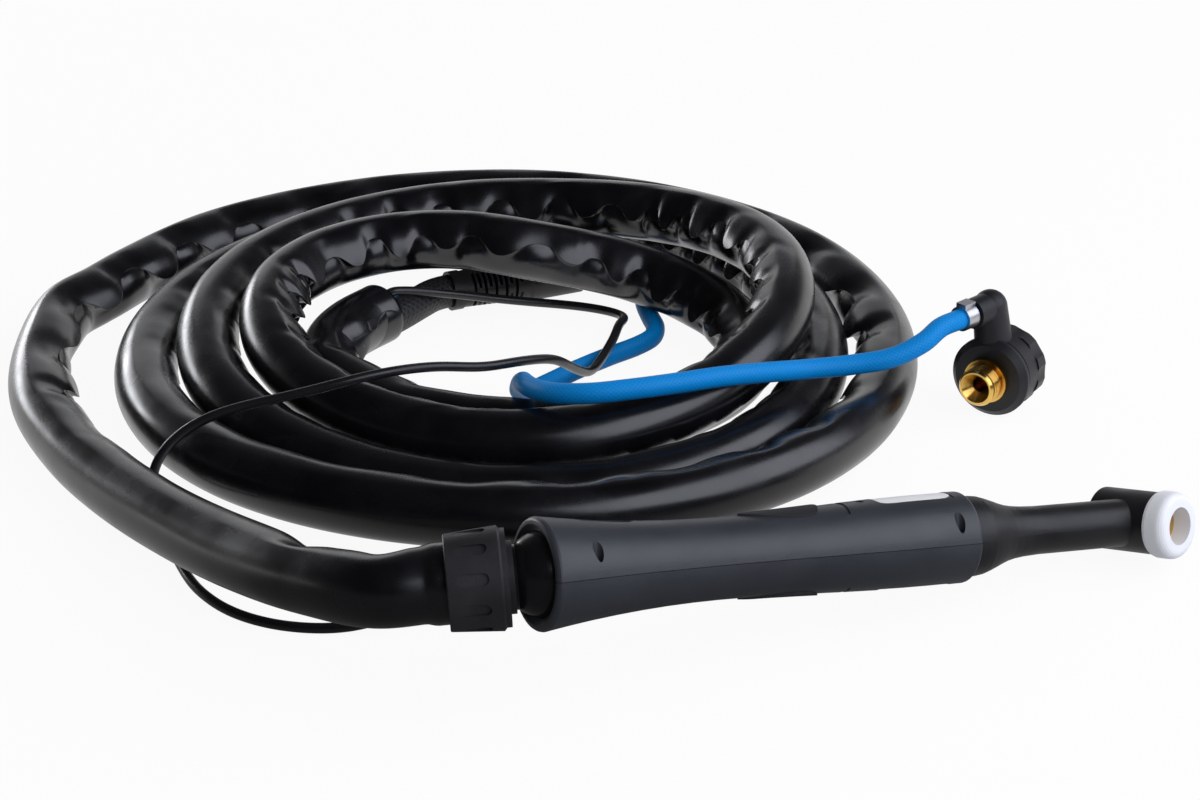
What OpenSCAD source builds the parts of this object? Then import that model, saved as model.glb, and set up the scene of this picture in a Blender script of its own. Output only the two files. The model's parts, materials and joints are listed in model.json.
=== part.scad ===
// TIG welding torch: a two-shell handle on a ball joint, a 70 degree head,
// and a sheathed cable bundle that lies coiled behind it. Millimetres, +Z up.

/* [Handle] */
// Length of the two handle shells
handle_len = 174.5; // [165:0.5:190]
// How far the rear rim lies behind the ball's centre
rim_back = 5; // [4:0.5:7]
// Diameter of the flared rear rim
flare_d = 41; // [39:0.5:46]
// Diameter of the waist
waist_d = 29.6; // [29:0.2:34]
// Place of the waist ahead of the ball's centre
waist_x = 66; // [55:1:80]
// Diameter of the front end
nose_d = 34.2; // [33:0.2:40]
// Wall of the shells
wall = 2.2; // [1.6:0.1:2.6]
// Gap along the parting line
seam = 0.2; // [0.1:0.05:0.3]
// Length of the rubber grip insets
grip_len = 32; // [24:1:40]
// Width of the rubber grip insets
grip_w = 15; // [10:0.5:17]
// How far the grip insets stand proud
grip_proud = 0.7; // [0.3:0.1:1.2]
// Length of the lens-shaped insets at the rear
lens_len = 24; // [16:1:28]
// Width of the lens-shaped insets at the rear
lens_w = 9; // [6:0.5:12]
// Length of the flat label recess
label_len = 32; // [20:1:34]
// Width of the flat label recess
label_w = 12; // [8:0.5:14]

/* [Trigger] */
// Length of the push button
button_len = 33.4; // [28:0.2:36]
// Width of the push button
button_w = 10.4; // [8:0.2:11.4]
// How far the button stands out of the handle
button_proud = 1.7; // [1.6:0.1:2.5]
// Travel of the push button
button_travel = 1.5; // [1:0.1:1.6]
// Gap round the button in its window
button_gap = 0.3; // [0.2:0.05:0.5]

/* [Torch head] */
// Diameter of the neck
neck_d = 18.3; // [16:0.1:20]
// Distance from the handle's front to the head's axis
head_reach = 81; // [70:0.5:100]
// Angle between the head and the neck
head_angle = 70; // [60:1:90]
// Diameter of the head's moulding
head_d = 24; // [23.6:0.1:28]
// Length of the head's moulding
head_len = 26; // [23.5:0.5:28]
// Diameter of the head's brass body
core_d = 16; // [15.4:0.1:17]
// Diameter of the hole for the collet body's thread
collet_hole_d = 8.9; // [8:0.1:9.6]
// Length of the collet body's thread
collet_thread_len = 12; // [10:0.5:12.5]
// Diameter of the hole for the back cap's thread
cap_hole_d = 10.4; // [9:0.1:11]
// Length of the back cap's thread
cap_thread_len = 7.5; // [6:0.5:8]
// Diameter of the front gasket
gasket_d = 25.8; // [24:0.1:28]
// Length of the front gasket
gasket_len = 9; // [6:0.5:12]
// Outer diameter of the copper tube in the neck
tube_d = 8; // [7:0.1:9]

/* [Ball joint] */
// Diameter of the ball
ball_d = 31.2; // [31:0.1:31.4]
// Running clearance round the ball
ball_gap = 0.15; // [0.1:0.01:0.2]
// Diameter of the bore through the ball
ball_bore = 16; // [12:0.5:17]
// Diameter of the stem behind the ball
stem_d = 23.2; // [22:0.1:24]
// Diameter of the ring round the stem
collar_d = 25.8; // [25:0.1:27]
// Diameter of the swivel spigot
spigot_d = 26.2; // [25.4:0.1:26.8]
// Running clearance of the swivel
swivel_gap = 0.1; // [0.05:0.01:0.1]
// Diameter of the thin washer
disc_d = 34.8; // [33:0.1:36]
// Front diameter of the clamp nut
nut_d = 37; // [35.4:0.1:38]
// Rear diameter of the clamp nut
nut_rear_d = 34.2; // [33.6:0.1:37]
// Length of the clamp nut
nut_len = 19.8; // [18:0.1:24]
// Number of pockets round the clamp nut
pockets = 10; // [8:1:12]

/* [Sheath and lines] */
// Diameter of the sheath
sheath_d = 27; // [26:0.1:27.2]
// Diameter of the power cable
power_d = 15; // [12:0.5:15]
// Diameter of the gas hose
hose_d = 8.5; // [7.5:0.1:8.6]
// Diameter of the control cable
control_d = 4; // [3:0.1:4.2]
// Diameter of the power plug's body
plug_d = 22; // [20:0.5:22.4]
// Length of the power plug's body
plug_len = 28; // [26:0.5:34]
// Diameter of the power plug's pin
pin_d = 9; // [8:0.1:13]
// Length of the power plug's pin
pin_len = 14; // [10:0.5:16]
// Diameter of the control plug
control_plug_d = 16; // [13:0.5:16]
// Length of the control plug
control_plug_len = 42; // [30:1:44]

/* [Gas connector] */
// Diameter of the hand wheel and the flange
wheel_d = 34.8; // [30:0.2:35.2]
// Thread diameter of the brass nipple
stud_d = 15.9; // [12:0.1:17]
// How far the brass nipple stands out of the flange
stud_len = 12; // [9:0.5:14]
// Height of the barb above the nipple's axis
barb_rise = 29.5; // [28:0.5:31.5]

/* [Hidden] */
$fn = 72;

// ---- pose of the handle, head and hose nut on the floor ----
ball_x = -112.5;
ball_y = -3.5;
handle_dip = 7.8;
handle_roll = -107;
hose_yaw = -20.13;
hose_rise = 3.5;

// ---- handle ----
flare_r = flare_d / 2;
waist_r = waist_d / 2;
nose_r = nose_d / 2;
front_x = handle_len - rim_back;
nose_full_x = front_x - 17.5;
rear_edge = 2;
front_edge = 1.5;
plug_depth = 19.5;
bell_seat = 2;
bell_gap = 0.2;
plug_x = front_x - plug_depth;
plug_r = nose_r - 5.1;
plug_gap = 0.1;
bell_r = nose_r - 1.9;
bell_len = 34;
// Share of the bell's length and share of the way from the neck to the bell
bell_shape = [
    [0.044, 1], [0.132, 0.975], [0.22, 0.918], [0.31, 0.77], [0.4, 0.59],
    [0.485, 0.41], [0.574, 0.246], [0.676, 0.13], [0.81, 0.05], [1, 0]
];
rib_w = 2;
grip_x = 75.5;
grip_depth = 1;
grip_gap = 0.1;
lens_x = 10;
inset_depth = 0.5;
label_depth = 0.3;
label_x = front_x - 6 - label_len;
groove_x = front_x - 53;
groove_w = 2.2;
groove_half = 9;
notch_w = 2.5;
notch_x = groove_x + 8;

// ---- shell screws ----
screw_head_d = 3.8;
screw_head_h = 1.5;
screw_shank_d = 2.5;
screw_len = 7.3;
screw_seat = 3;
screw_gap = 0.1;
boss_r = 3;
screw_rear_x = 12.5;
screw_rear_z = -15.2;
screw_front_x = front_x - 9;
screw_front_z = -(plug_r + plug_gap + nose_r) / 2;

// ---- trigger and switch ----
trigger_x = front_x - 38.5;
flange_grow = 0.9;
flange_h = 1.4;
flange_clear = 0.3;
button_crown = 1.2;
handle_at_trigger = handle_r(trigger_x);
window_r = handle_r(trigger_x - (button_len - button_w) / 2) - wall;
flange_top = sqrt(pow(window_r, 2) - pow(button_w / 2 + flange_grow, 2)) - flange_clear;
flange_low = flange_top - flange_h;
button_top = handle_at_trigger + button_proud;
plunger_d = 3;
plunger_gap = 0.05;
plunger_lift = 1.7;
switch_l = 12.8;
switch_w = 5.8;
tube_clear = 0.26;
carrier_low = tube_d / 2 + tube_clear;
switch_top = flange_low - plunger_lift - 0.1;
carrier_t = 0.2 * (switch_top - carrier_low);
switch_low = carrier_low + carrier_t;
plunger_sink = 0.6 * (switch_top - switch_low - button_travel);
carrier_len = 26;
carrier_gap = 0.2;
cavity_at_carrier = handle_r(trigger_x - carrier_len / 2) - wall;
carrier_half = sqrt(pow(cavity_at_carrier, 2) - pow(switch_low, 2)) - carrier_gap;

// ---- inside the handle and neck ----
fit = 0.02;
tube_r = tube_d / 2;
tube_wall = 1;
tube_back = front_x - 51.5;
union_r = 6.6;
union_len = 23;
union_x = tube_back - union_len;
union_seat = 8;
tube_seat = 13;
inner_cable_r = 5.5;
inner_cable_x = 20;
inner_lead_r = 1.2;
inner_lead_z = union_r + inner_lead_r + 0.2;

// ---- head ----
head_x = front_x + head_reach;
head_turn = 90 + head_angle;
head_r = head_d / 2;
head_back = 0.6 * head_len;
head_front = head_len - head_back;
head_edge = 1.2;
core_r = core_d / 2;
core_back = head_back - 1.5;
core_front = head_front - 2;
core_nose_r = 7.2;
core_nose = head_front + 1.5;
cap_mouth_r = 6.5;
through_r = 3.3;
tube_stop = 7.5;
neck_r = neck_d / 2;
gasket_edge = 3.2;

// ---- ball joint ----
ball_r = ball_d / 2;
seat_r = ball_r + ball_gap;
ball_flat = 11;
stem_r = stem_d / 2;
stem_back = 16;
spigot_r = spigot_d / 2;
spigot_back = 30;
collar_front = 11.4;
collar_w = 2;
disc_w = 1.8;
nut_front = collar_front + collar_w + disc_w;
nut_back = nut_front + nut_len;
race_front = 9;
race_back = 0.5;
race_r = 16.9;
race_gap = 0.1;
rib_r = sqrt(ball_r * ball_r - race_front * race_front) + 0.4;
disc_gap = 0.1;
sheath_seat_r = 14.5;
sheath_seat_gap = 0.3;
pocket_len = 11.5;
pocket_w = 4.5;
pocket_deep = 1.3;
pocket_front = 5;
pocket_turn = 7.5;

// Height of the ball's centre, so that the head's back end rests on the floor
nozzle_up = -sin(head_turn) * sin(handle_dip)
    + cos(head_turn) * cos(handle_dip) * cos(handle_roll);
nozzle_flat = sqrt(1 - nozzle_up * nozzle_up);
ball_z = head_x * sin(handle_dip) + (head_back - head_edge) * nozzle_up
    + (head_r - head_edge) * nozzle_flat + head_edge;
ball_at = [ball_x, ball_y, ball_z];

// ---- sheath ----
sheath_r = sheath_d / 2;
meet = 0.05;
nut_dir = [
    cos(hose_rise) * cos(hose_yaw),
    cos(hose_rise) * sin(hose_yaw),
    sin(hose_rise)
];
sheath_start = ball_at - (spigot_back + sheath_seat_gap) * nut_dir;
coil_mid = [-8, 258];
coil_turn = 155;
coil_first = 0.25;
coil_last = 15.5;
// Reach of the loops from their middle and height of their centre line, one
// value for each quarter turn: west, north, east, south and west again
coil_reach = [
    199, 172, 158.5, 185, 158.5, 143, 129, 153, 132, 112,
    114, 124, 103, 46, 97, 90.5, 79, 70
];
coil_lift = [
    13.5, 13.5, 13.5, 23, 14, 13.5, 13.5, 13.5, 27.5, 32,
    42, 24, 38, 38, 14, 13.5, 13.5, 13.5
];
coil_steps = round((coil_last - coil_first) * 6);
coil_curve = [
    for (i = [0 : coil_steps])
        coil_at(coil_first + (coil_last - coil_first) * i / coil_steps)
];
coil_in_dir = unit(coil_at(coil_first + 0.01) - coil_at(coil_first));
coil_out_dir = unit(coil_at(coil_last) - coil_at(coil_last - 0.01));
coil_in = coil_curve[0] - sheath_d * coil_in_dir;
coil_out = coil_curve[coil_steps] + sheath_d * coil_out_dir;
coil_path = concat([coil_in], coil_curve, [coil_out]);
lead_path = concat(
    [sheath_start, sheath_start - 10 * nut_dir, sheath_start - 28 * nut_dir],
    [
        [-181, 48, 38], [-192, 90, 29], [-202, 138, 21], [-210, 186, 16],
        [-215, 234, 13.5], [-214, 282, 13.5], [-202, 326, 13.5]
    ],
    [coil_in - 22 * coil_in_dir, coil_in - meet * coil_in_dir]
);
tail_path = concat(
    [coil_out + meet * coil_out_dir, coil_out + 6 * coil_out_dir],
    [
        [-92, 268, 13.5], [-84, 286, 13.5], [-71, 300, 13.5], [-53, 311, 13.5]
    ]
);
tail_end = tail_path[len(tail_path) - 1];
tail_dir = unit(tail_end - tail_path[len(tail_path) - 2]);
tail_side = [-tail_dir[1], tail_dir[0], 0];
power_out = tail_end + meet * tail_dir - 4.3 * tail_side + [0, 0, -2.5];
hose_out = tail_end + meet * tail_dir + 7.6 * tail_side + [0, 0, -2.9];
control_out = tail_end + meet * tail_dir - 3 * tail_side + [0, 0, 8.9];

// ---- gas connector ----
gas_at = [150.6, 128.7];
gas_yaw = 212.8;
barb_yaw = 198.8;
wheel_r = wheel_d / 2;
flange_w = 4.5;
neck_w = 1.5;
hub_w = 8;
hub_gap = 0.3;
wheel_w = 8;
wheel_flats = 10;
barb_r = 6.5;
barb_len = 12;
upright_r = 8.7;
upright_top_r = 7.3;
upright_x = -8.5;
gas_lean = 9;
stud_r = stud_d / 2;
stud_base_r = 9.6;
stud_base_w = 3;
stud_shaft_r = 6;
hub_back = -(flange_w + neck_w + hub_w);
flange_bevel = 2.6;
gas_dir = [cos(gas_yaw), sin(gas_yaw), 0];
barb_dir = [cos(barb_yaw), sin(barb_yaw), 0];
lean_dir = [sin(gas_lean) * sin(gas_yaw), -sin(gas_lean) * cos(gas_yaw), cos(gas_lean)];
barb_mid = [gas_at[0], gas_at[1], wheel_r] + barb_rise * lean_dir + upright_x * gas_dir;
barb_end = barb_mid + barb_len * barb_dir;

// ---- lines that leave the sheath ----
control_plug_x = -124;
control_plug_y = 62;
control_plug_z = control_plug_d / 2;
boot_r = 3.5;
boot_wide_r = 5;
boot_len = 10;
boot_end = 14;
plug_y = 327;
plug_z = plug_d / 2;
relief_x = -13;
collar_len = 5;
relief_len = 32;
plug_x0 = relief_x + collar_len + relief_len;
power_path = [
    power_out, power_out + 12 * tail_dir, [-29, plug_y - 5.8, plug_z],
    [-22, plug_y - 1.6, plug_z], [relief_x - 3, plug_y, plug_z],
    [relief_x - meet, plug_y, plug_z]
];
hose_path = concat(
    [hose_out, hose_out + 9 * tail_dir],
    [
        [-39, 331, 7], [-26, 337.5, 5.5], [-10, 342.5, 5], [8, 346, 5], [28, 348, 5],
        [46, 346.5, 5], [61, 341, 5], [72, 331, 5], [76, 317, 5], [73, 302, 5],
        [67, 287, 5], [63, 273, 5], [60, 262, 5], [54, 253, 5], [44, 247.5, 5],
        [28, 242.5, 5], [10, 236, 5], [-7, 228.5, 5], [-20, 220, 7], [-29, 210, 13],
        [-34, 198, 22], [-39, 184, 30], [-45, 168, 37], [-48, 152, 42], [-46, 137, 46],
        [-36, 126, 48.5], [-19, 121.5, 49], [0, 121, 48], [20, 123, 46], [42, 127, 42],
        [64, 130, 38], [84, 127, 37.5], [100, 122.5, 39.5], [114, 122.5, 43.5]
    ],
    [barb_end + 20 * barb_dir, barb_end + 9 * barb_dir, barb_end + meet * barb_dir]
);
control_path = concat(
    [control_out, control_out + 8 * tail_dir],
    [
        [-28, 312, 19], [-12, 311, 15], [4, 309, 11], [20, 305, 8], [35, 298, 6.5],
        [46, 287, 6.5], [50, 273, 8], [40, 258, 12], [31, 244, 13], [20, 231, 12],
        [7, 217, 12], [-7, 203.5, 22], [-22, 191.5, 34], [-40, 183, 40], [-60, 176, 44],
        [-80, 174, 49], [-98, 171, 52], [-113, 171, 52], [-127, 173, 50],
        [-143, 179, 46], [-158, 186, 42], [-172, 191, 37.5], [-184, 194, 30.5],
        [-192, 196.5, 20.5], [-195.5, 195.5, 10.5], [-196, 188, 4], [-197, 176, 2],
        [-199, 160, 2], [-201, 140, 2], [-201, 120, 2], [-195, 98, 2], [-181, 80, 2],
        [-160, 68.5, 2.5]
    ],
    [[control_plug_x - 12, control_plug_y, control_plug_z],
        [control_plug_x - meet, control_plug_y, control_plug_z]]
);

// ---- functions ----
function unit(v) = v / norm(v);
function ease(t) = let (s = min(1, max(0, t))) s * s * (3 - 2 * s);
function handle_r(x) = x < waist_x
    ? waist_r + (flare_r - waist_r) * pow((waist_x - x) / (waist_x + rim_back), 2)
    : waist_r + (nose_r - waist_r) * ease((x - waist_x) / (nose_full_x - waist_x));
// Stations along the handle from a to b
function stations(a, b) = [
    for (x = concat(
        [a],
        [for (i = [1 : 6]) waist_x - (waist_x + rim_back) * (1 - i / 7)],
        [for (i = [0 : 8]) waist_x + (nose_full_x - waist_x) * i / 8],
        [b]
    )) if (x >= a && x <= b) x
];
// Value of a list of quarter turns at k, along a Catmull-Rom curve
function between(v, k) = let (
    i = max(1, min(len(v) - 3, floor(k))),
    j = floor(k) < 1 ? 0 : i,
    t = k - j,
    a = v[max(0, j - 1)],
    b = v[j],
    c = v[j + 1],
    d = v[min(len(v) - 1, j + 2)]
) 0.5 * (2 * b + (c - a) * t + (2 * a - 5 * b + 4 * c - d) * t * t
    + (3 * b - a - 3 * c + d) * t * t * t);
function coil_at(k) = let (a = coil_turn - 90 * k, r = between(coil_reach, k)) [
    coil_mid[0] + r * cos(a),
    coil_mid[1] + r * sin(a),
    max(13.5, between(coil_lift, k))
];
function tangent(p, i) = i == 0 ? unit(p[1] - p[0])
    : i == len(p) - 1 ? unit(p[i] - p[i - 1])
    : unit(unit(p[i + 1] - p[i]) + unit(p[i] - p[i - 1]));
function carry(u, t) = unit(u - (u * t) * t);
function normals(p) = [
    for (
        i = 0, u = carry([0.2, 0.1, 1], tangent(p, 0));
        i < len(p);
        u = carry(u, tangent(p, min(i + 1, len(p) - 1))), i = i + 1
    ) u
];
function ring(c, t, u, r, n) = let (v = cross(t, u)) [
    for (k = [0 : n - 1]) c + r * (cos(360 * k / n) * u + sin(360 * k / n) * v)
];
function least(v, i = 0, m = 1e9) = i == len(v) ? m : least(v, i + 1, min(m, v[i]));

// The coil's least gap to itself
coil_gap = least([
    for (i = [0 : len(coil_path) - 1])
        for (j = [i + 8 : len(coil_path) - 1])
            if (j < len(coil_path)) norm(coil_path[i] - coil_path[j]) - sheath_d
]);
echo(coil_gap = coil_gap);

// ---- helpers ----
module tube(p, r, n) {
    u = normals(p);
    last = len(p) - 1;
    points = [
        for (i = [0 : last])
            each ring(p[i], tangent(p, i), u[i], is_list(r) ? r[i] : r, n)
    ];
    sides = [
        for (i = [0 : last - 1]) for (k = [0 : n - 1]) let (
            a = i * n + k,
            b = i * n + (k + 1) % n
        ) each [[a, a + n, b + n], [a, b + n, b]]
    ];
    caps = [
        for (k = [1 : n - 2]) each [
            [0, k, k + 1],
            [last * n, last * n + k + 1, last * n + k]
        ]
    ];
    polyhedron(points, concat(sides, caps), convexity = 10);
}

module lathe_x(p) {
    rotate([0, 90, 0]) rotate_extrude() polygon([for (q = p) [q[1], q[0]]]);
}

module rod_x(x0, x1, r) {
    translate([x0, 0, 0]) rotate([0, 90, 0]) cylinder(h = x1 - x0, r = r);
}

module slot_shape(l, w) {
    square([l - w, w], center = true);
    for (s = [-1, 1]) translate([s * (l - w) / 2, 0]) circle(d = w);
}

module lens_shape(l, w) {
    r = (l * l / w + w) / 4;
    intersection() {
        translate([0, r - w / 2]) circle(r);
        translate([0, w / 2 - r]) circle(r);
    }
}

// Pointed at -X, rounded at +X
module grip_shape(grow) {
    w = grip_w + 2 * grow;
    l = grip_len + 2 * grow;
    translate([l / 2 - w / 2, 0]) circle(d = w);
    difference() {
        translate([l / 2 - w / 2, 0]) intersection() {
            r = (pow(l - w / 2, 2) + pow(w / 2, 2)) / w;
            translate([0, r - w / 2]) circle(r);
            translate([0, w / 2 - r]) circle(r);
        }
        translate([l / 2 - w / 2, -w]) square([l, 2 * w]);
    }
}

module in_torch() {
    translate(ball_at) rotate([handle_roll, handle_dip, 0]) children();
}

module in_head() {
    in_torch() translate([head_x, 0, 0]) rotate([0, head_turn, 0]) children();
}

module in_nut() {
    translate(ball_at) rotate([0, -hose_rise, hose_yaw]) children();
}

module in_gas() {
    translate([gas_at[0], gas_at[1], wheel_r]) rotate([0, 0, gas_yaw]) children();
}

module at_plug() {
    translate([0, plug_y, plug_z]) children();
}

// ---- handle ----
// The handle's outer form, grown by g
module handle_body(g = 0) {
    rear = [
        for (i = [0 : 4]) [
            -rim_back + rear_edge * (1 - cos(90 * i / 4)),
            handle_r(-rim_back + rear_edge) - rear_edge * (1 - sin(90 * i / 4)) + g
        ]
    ];
    mid = [
        for (x = stations(-rim_back + rear_edge + 1, front_x - front_edge - 1))
            [x, handle_r(x) + g]
    ];
    front = [
        for (i = [0 : 4]) [
            front_x - front_edge * (1 - sin(90 * i / 4)),
            nose_r - front_edge * (1 - cos(90 * i / 4)) + g
        ]
    ];
    lathe_x(concat([[-rim_back, 0]], rear, mid, front, [[front_x, 0]]));
}

module handle_cavity() {
    // Dished rim, seat of the ball, race groove, rib, hollow, plug socket, bell recess
    lip_x = 1.5 - rim_back;
    groove_back = race_back - race_gap;
    seat = [
        for (i = [0 : 4]) let (x = lip_x + (groove_back - lip_x) * i / 4)
            [x, sqrt(seat_r * seat_r - x * x)]
    ];
    inside = [
        for (x = stations(race_front + race_gap + rib_w, plug_x))
            [x, handle_r(x) - wall]
    ];
    lathe_x(concat(
        [
            [-rim_back - 1, 0],
            [-rim_back - 1, flare_r - rear_edge - 0.5],
            [-rim_back, flare_r - rear_edge - 0.8]
        ],
        seat,
        [
            [groove_back, race_r + race_gap],
            [race_front + race_gap, race_r + race_gap],
            [race_front + race_gap, rib_r],
            [race_front + race_gap + rib_w, rib_r]
        ],
        inside,
        [
            [plug_x, plug_r + plug_gap],
            [front_x - bell_seat, plug_r + plug_gap],
            [front_x - bell_seat, bell_r + bell_gap],
            [front_x + 1, bell_r + bell_gap],
            [front_x + 1, 0]
        ]
    ));
}

module trigger_window() {
    translate([trigger_x, 0, flange_top - 6]) linear_extrude(button_top)
        slot_shape(button_len + 2 * button_gap, button_w + 2 * button_gap);
}

module screw_places() {
    for (q = [[screw_rear_x, screw_rear_z], [screw_front_x, screw_front_z]])
        translate([q[0], 0, q[1]]) children();
}

module screw_posts() {
    intersection() {
        handle_body();
        screw_places() rotate([90, 0, 0]) cylinder(h = 40, r = boss_r, center = true);
    }
}

// Form pressed into the skin to a depth, on the side where y has the sign s
module pressed(s, depth) {
    difference() {
        rotate([-s * 90, 0, 0]) linear_extrude(30) children();
        handle_body(-depth);
    }
}

module handle_half(s) {
    difference() {
        union() {
            difference() {
                handle_body();
                handle_cavity();
            }
            intersection() {
                screw_posts();
                translate([0, 0, screw_rear_z]) cube([3 * handle_len, 3 * flare_d, 2 * boss_r], center = true);
            }
        }
        translate([-50, s > 0 ? seam / 2 - 80 : -seam / 2, -40]) cube([300, 80, 80]);
        trigger_window();
        pressed(s, inset_depth) translate([lens_x + lens_len / 2, 0])
            lens_shape(lens_len, lens_w);
        pressed(s, grip_depth) translate([grip_x + grip_len / 2, 0])
            grip_shape(grip_gap);
        pressed(s, inset_depth) translate([groove_x - 30, 0]) intersection() {
            difference() {
                circle(30 + groove_w);
                circle(30);
            }
            translate([20, -groove_half]) square([20, 2 * groove_half]);
        }
        pressed(s, inset_depth) translate([notch_x, -2.5]) square([notch_w, 5]);
        pressed(s, label_depth) translate([label_x, -label_w / 2])
            square([label_len, label_w]);
        // Screw holes: head and clearance on the right, pilot on the left
        screw_places() rotate([90, 0, 0]) if (s < 0) {
            translate([0, 0, screw_seat]) cylinder(h = 30, d = screw_head_d + 2 * screw_gap);
            translate([0, 0, -1]) cylinder(h = 20, d = screw_shank_d + 2 * screw_gap);
        } else {
            translate([0, 0, screw_seat - screw_len - 0.3])
                cylinder(h = screw_len, d = screw_shank_d + fit);
        }
        // Room for the race and the plug through the posts
        rod_x(race_back - race_gap, race_front + race_gap, race_r + race_gap);
        rod_x(plug_x, front_x, plug_r + plug_gap);
    }
}

module handle_right() {
    color("#3a3d47") in_torch() handle_half(-1);
}

module handle_left() {
    color("#3a3d47") in_torch() handle_half(1);
}

module grip_inset(s) {
    color("#26272b") in_torch() intersection() {
        pressed(s, grip_depth) translate([grip_x + grip_len / 2, 0]) grip_shape(0);
        handle_body(grip_proud);
    }
}

module grip_inset_right() {
    grip_inset(-1);
}

module grip_inset_left() {
    grip_inset(1);
}

module screw(x, z) {
    color("#8c8f94") in_torch() translate([x, 0, z]) rotate([90, 0, 0])
        translate([0, 0, screw_seat]) difference() {
            union() {
                cylinder(h = screw_head_h, d = screw_head_d);
                translate([0, 0, -screw_len]) cylinder(h = screw_len, d = screw_shank_d);
            }
            translate([0, 0, screw_head_h - 1]) cylinder(h = 2, d = 2, $fn = 6);
        }
}

module screw_rear() {
    screw(screw_rear_x, screw_rear_z);
}

module screw_front() {
    screw(screw_front_x, screw_front_z);
}

// ---- trigger and switch ----
module trigger_button() {
    color("#2b2c31") in_torch() translate([trigger_x, 0, 0]) {
        translate([0, 0, flange_low]) linear_extrude(flange_h)
            slot_shape(button_len + 2 * flange_grow, button_w + 2 * flange_grow);
        intersection() {
            translate([0, 0, flange_top]) linear_extrude(button_top - flange_top)
                slot_shape(button_len, button_w);
            translate([0, 0, button_top - 60]) rotate([90, 0, 0])
                cylinder(h = 40, r = 60, center = true);
            translate([-30, 0, button_top - button_crown - 12]) rotate([0, 90, 0])
                cylinder(h = 60, r = 12 + button_crown);
        }
    }
}

module switch_carrier() {
    color("#b9b4a5") in_torch()
        translate([trigger_x - carrier_len / 2, -carrier_half, carrier_low])
            cube([carrier_len, 2 * carrier_half, carrier_t]);
}

module micro_switch() {
    color("#1f2023") in_torch() translate([trigger_x, 0, switch_low]) difference() {
        translate([-switch_l / 2, -switch_w / 2, 0])
            cube([switch_l, switch_w, switch_top - switch_low]);
        translate([0, 0, switch_top - switch_low - plunger_sink - button_travel])
            cylinder(h = 20, d = plunger_d + 2 * plunger_gap);
    }
}

module switch_plunger() {
    color("#a33a2e") in_torch() translate([trigger_x, 0, switch_top - plunger_sink + 0.1])
        cylinder(h = plunger_lift + plunger_sink - 0.1, d = plunger_d);
}

// ---- inside the handle ----
module power_union() {
    color("#c9a24b") in_torch() difference() {
        rod_x(union_x, tube_back, union_r);
        rod_x(tube_back - tube_seat, tube_back + 1, tube_r + fit);
        rod_x(union_x - 1, union_x + union_seat, inner_cable_r + fit);
    }
}

module inner_power_cable() {
    color("#1d1d1f") in_torch() rod_x(inner_cable_x, union_x + union_seat, inner_cable_r);
}

module inner_control_lead() {
    color("#27282c") in_torch() translate([0, 0, inner_lead_z])
        rod_x(inner_cable_x, trigger_x - switch_l / 2, inner_lead_r);
}

// ---- torch head ----
module head_insulator() {
    color("#1b1b1d") difference() {
        union() {
            in_torch() lathe_x(concat(
                [
                    [plug_x, 0], [plug_x, plug_r], [front_x - bell_seat, plug_r],
                    [front_x - bell_seat, bell_r]
                ],
                [
                    for (q = bell_shape)
                        [front_x + bell_len * q[0], neck_r + (bell_r - neck_r) * q[1]]
                ],
                [[head_x, neck_r], [head_x, 0]]
            ));
            in_head() rotate_extrude() polygon(concat(
                [[0, -head_back]],
                [
                    for (i = [0 : 4]) [
                        head_r - head_edge * (1 - sin(90 * i / 4)),
                        head_edge * (1 - cos(90 * i / 4)) - head_back
                    ]
                ],
                [[head_r, head_front], [0, head_front]]
            ));
        }
        in_torch() rod_x(plug_x - 1, head_x - tube_stop, tube_r + fit);
        in_head() {
            translate([0, 0, -core_back]) cylinder(h = core_back + core_front, r = core_r + fit);
            translate([0, 0, 0]) cylinder(h = head_len, r = core_nose_r + 0.05);
            translate([0, 0, -head_len]) cylinder(h = head_len, r = cap_mouth_r);
        }
    }
}

module head_core() {
    color("#c49a45") difference() {
        in_head() {
            translate([0, 0, -core_back]) cylinder(h = core_back + core_front, r = core_r);
            cylinder(h = core_nose, r = core_nose_r);
        }
        in_head() {
            translate([0, 0, core_nose - collet_thread_len])
                cylinder(h = head_len, d = collet_hole_d);
            translate([0, 0, -core_back]) cylinder(h = 2 * core_back, r = through_r);
            translate([0, 0, cap_thread_len - core_back - head_len])
                cylinder(h = head_len, d = cap_hole_d);
        }
        in_torch() rod_x(head_x - 2 * core_r, head_x - tube_stop, tube_r + fit);
    }
}

module neck_tube() {
    color("#b56a3c") in_torch() difference() {
        rod_x(tube_back - tube_seat, head_x - tube_stop, tube_r);
        rod_x(tube_back - tube_seat - 1, head_x, tube_r - tube_wall);
    }
}

module cup_gasket() {
    color("#f1f0ea") in_head() difference() {
        rotate_extrude() polygon(concat(
            [[0, head_front], [gasket_d / 2 - 0.4, head_front], [gasket_d / 2, head_front + 1.2]],
            [
                for (i = [0 : 5]) [
                    gasket_d / 2 - gasket_edge * (1 - cos(90 * i / 5)),
                    head_front + gasket_len - gasket_edge * (1 - sin(90 * i / 5))
                ]
            ],
            [[0, head_front + gasket_len]]
        ));
        translate([0, 0, head_front - 1]) cylinder(h = gasket_len + 2, r = core_nose_r + 0.05);
    }
}

// ---- ball joint ----
module ball() {
    color("#17171a") in_nut() difference() {
        union() {
            difference() {
                sphere(ball_r);
                translate([ball_flat, -30, -30]) cube(60);
            }
            rod_x(-stem_back, -9, stem_r);
            rod_x(-spigot_back, -stem_back, spigot_r);
        }
        rod_x(-spigot_back - 1, ball_flat + 1, ball_bore / 2);
    }
}

module collar_ring() {
    color("#3b3b40") in_nut() difference() {
        rod_x(-collar_front - collar_w, -collar_front, collar_d / 2);
        rod_x(-30, 0, stem_r + fit);
    }
}

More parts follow.
